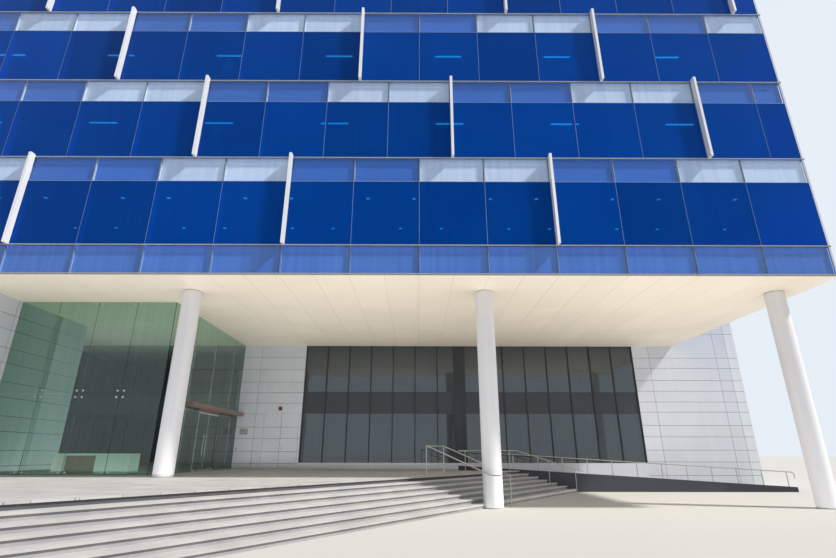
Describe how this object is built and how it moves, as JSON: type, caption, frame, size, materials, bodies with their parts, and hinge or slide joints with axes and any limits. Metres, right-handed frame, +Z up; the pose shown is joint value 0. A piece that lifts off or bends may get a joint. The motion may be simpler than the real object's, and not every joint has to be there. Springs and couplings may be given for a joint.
{
  "type": "office building",
  "caption": "Office building with a blue glazed box of storeys on round columns, oblique steps, ramp, glass lobby and a white-clad service tower",
  "frame": {"origin": "bottom centre of the whole building at plaza level, steps and tower included", "axes": "+X to the right when facing the front, +Y from the front steps towards the rear, +Z up"},
  "size_m": [38.64, 29.64, 25.484],
  "materials": {
    "dark_stone": "honed",
    "pale_paving": "honed",
    "dark_render": "matte",
    "stainless_steel": "brushed",
    "column_paint": "satin",
    "concrete": "cast",
    "ceiling_paint": "matte",
    "white_cladding": "satin",
    "white_door_paint": "satin",
    "dark_aluminium": "anodised",
    "dark_glass": "polished",
    "clear_glass": "polished",
    "bronze_metal": "satin",
    "soffit_panel": "satin",
    "cap_aluminium": "anodised",
    "fin_aluminium": "anodised",
    "blue_glass": "polished",
    "white_panel": "satin",
    "blue_panel": "satin"
  },
  "bodies": {
    "building": {"back_wall_right": "white_cladding", "blue_spandrel_panels": "blue_panel", "ceilings": "ceiling_paint", "corner_posts": "cap_aluminium", "entrance_canopy": "bronze_metal", "entrance_track": "bronze_metal", "entrance_wall": "white_cladding", "fins": "fin_aluminium", "floor_line_caps": "cap_aluminium", "floor_slabs": "concrete", "front_columns": "column_paint", "left_wing_walls": "white_cladding", "lobby_front_glass": "clear_glass", "lobby_side_glass": "clear_glass", "parapet_coping": "cap_aluminium", "podium": "dark_stone", "podium_paving": "pale_paving", "ramp": "pale_paving", "ramp_handrail": "stainless_steel", "ramp_wall": "dark_render", "rear_block_floors": "concrete", "rear_block_walls": "white_cladding", "roof_upstand": "concrete", "service_door_frame": "white_door_paint", "service_door_lintel_and_sill": "white_cladding", "skirt_and_parapet_glass": "blue_glass", "skirt_and_parapet_mullions": "cap_aluminium", "skirt_and_parapet_panels": "white_panel", "soffit": "soffit_panel", "stair_handrails": "stainless_steel", "step_blocks": "dark_stone", "step_treads": "pale_paving", "storey_glass": "blue_glass", "storey_mullions": "cap_aluminium", "tower_end_walls": "white_cladding", "tower_floor_and_roof": "concrete", "tower_side_walls": "white_cladding", "transfer_slab": "concrete", "upper_columns": "concrete", "white_spandrel_panels": "white_panel", "window_strip_glass": "dark_glass", "window_strip_mullions": "dark_aluminium", "window_strip_sills_and_bands": "dark_aluminium"},
    "service_door_left": {"service_door_left_leaf": "white_door_paint"},
    "service_door_right": {"service_door_right_leaf": "white_door_paint"},
    "entrance_leaf_front": {"entrance_front_leaf": "clear_glass"},
    "entrance_leaf_rear": {"entrance_rear_leaf": "clear_glass"}
  },
  "joints": [
    {"name": "service_door_left_swing", "type": "hinge", "parent": "building", "child": "service_door_left", "pos_m": [-6.96, 5.854, 2.304], "axis": [0, 0, -1], "range_deg": [0, 95]},
    {"name": "service_door_right_swing", "type": "hinge", "parent": "building", "child": "service_door_right", "pos_m": [-5.08, 5.854, 2.304], "axis": [0, 0, 1], "range_deg": [0, 95]},
    {"name": "entrance_front_slide", "type": "slide", "parent": "building", "child": "entrance_leaf_front", "axis": [0, -1, 0], "range_m": [0, 1.1]},
    {"name": "entrance_rear_slide", "type": "slide", "parent": "building", "child": "entrance_leaf_rear", "axis": [0, 1, 0], "range_m": [0, 1.1]}
  ]
}
